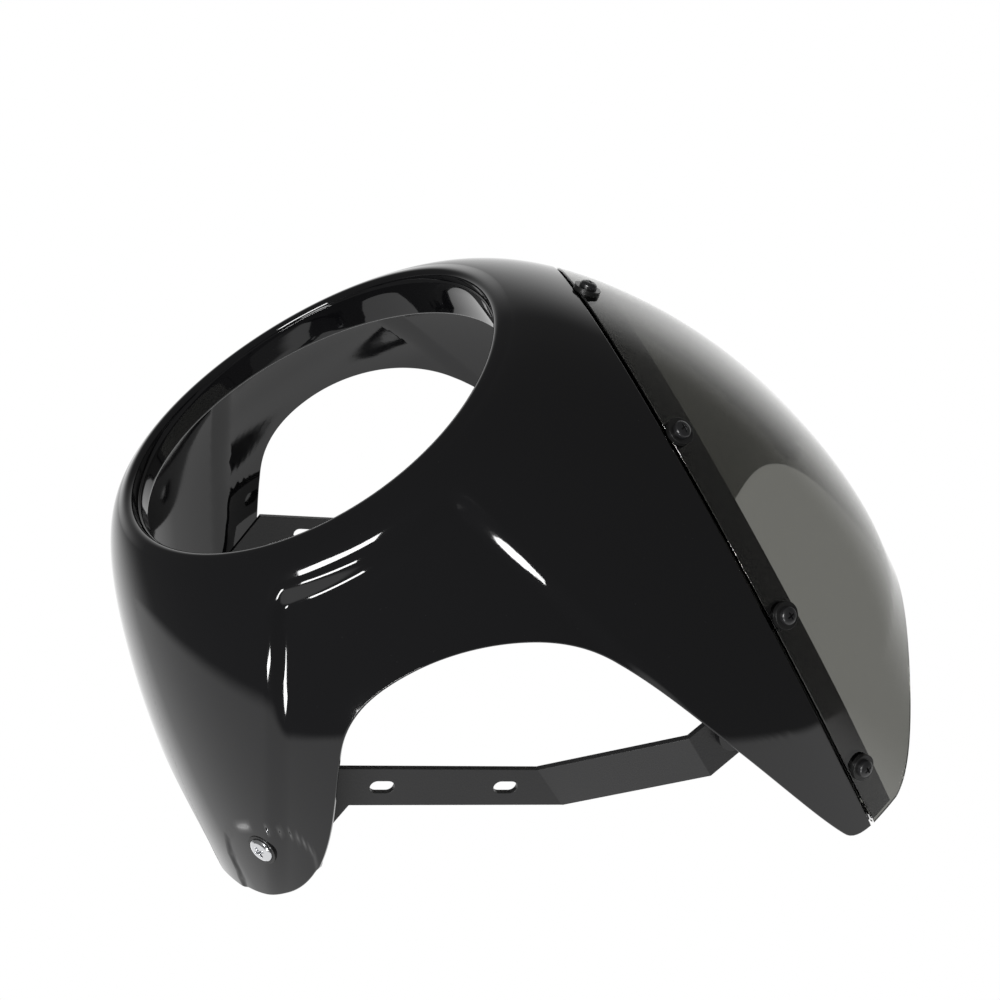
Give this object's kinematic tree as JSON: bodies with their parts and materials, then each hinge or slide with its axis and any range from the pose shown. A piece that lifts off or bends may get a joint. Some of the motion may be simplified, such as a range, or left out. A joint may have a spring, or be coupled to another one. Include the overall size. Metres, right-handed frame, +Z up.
{
  "type": "headlight cowl",
  "caption": "Moulded gloss black cowl round a round headlamp opening, with a smoked screen on top and slotted side brackets for the fork.",
  "frame": {"origin": "centre of the round lamp opening, in the mean plane of its front rim", "axes": "+Z up, -Y forward out of the lamp opening, +X to the vehicle's left"},
  "size_m": [0.2874, 0.2685, 0.3471],
  "materials": {
    "shell": "gloss",
    "screen": "gloss",
    "black_screw": "satin",
    "black_washer": "satin",
    "bright_screw": "polished",
    "plated": "satin",
    "bracket": "satin",
    "insert": "satin"
  },
  "bodies": {
    "root": {"cowl_shell": "shell", "windscreen": "screen", "screen_screws": "black_screw", "screen_washers": "black_washer", "screen_backing_washers": "plated", "screen_nuts": "plated", "bracket_left": "bracket", "bracket_right": "bracket", "bracket_screws": "bright_screw", "bracket_screw_rings": "black_washer", "bracket_washers": "plated", "bracket_nuts": "plated", "stay_inserts": "insert", "stay_screws": "plated", "stay_washers": "plated"}
  },
  "joints": []
}
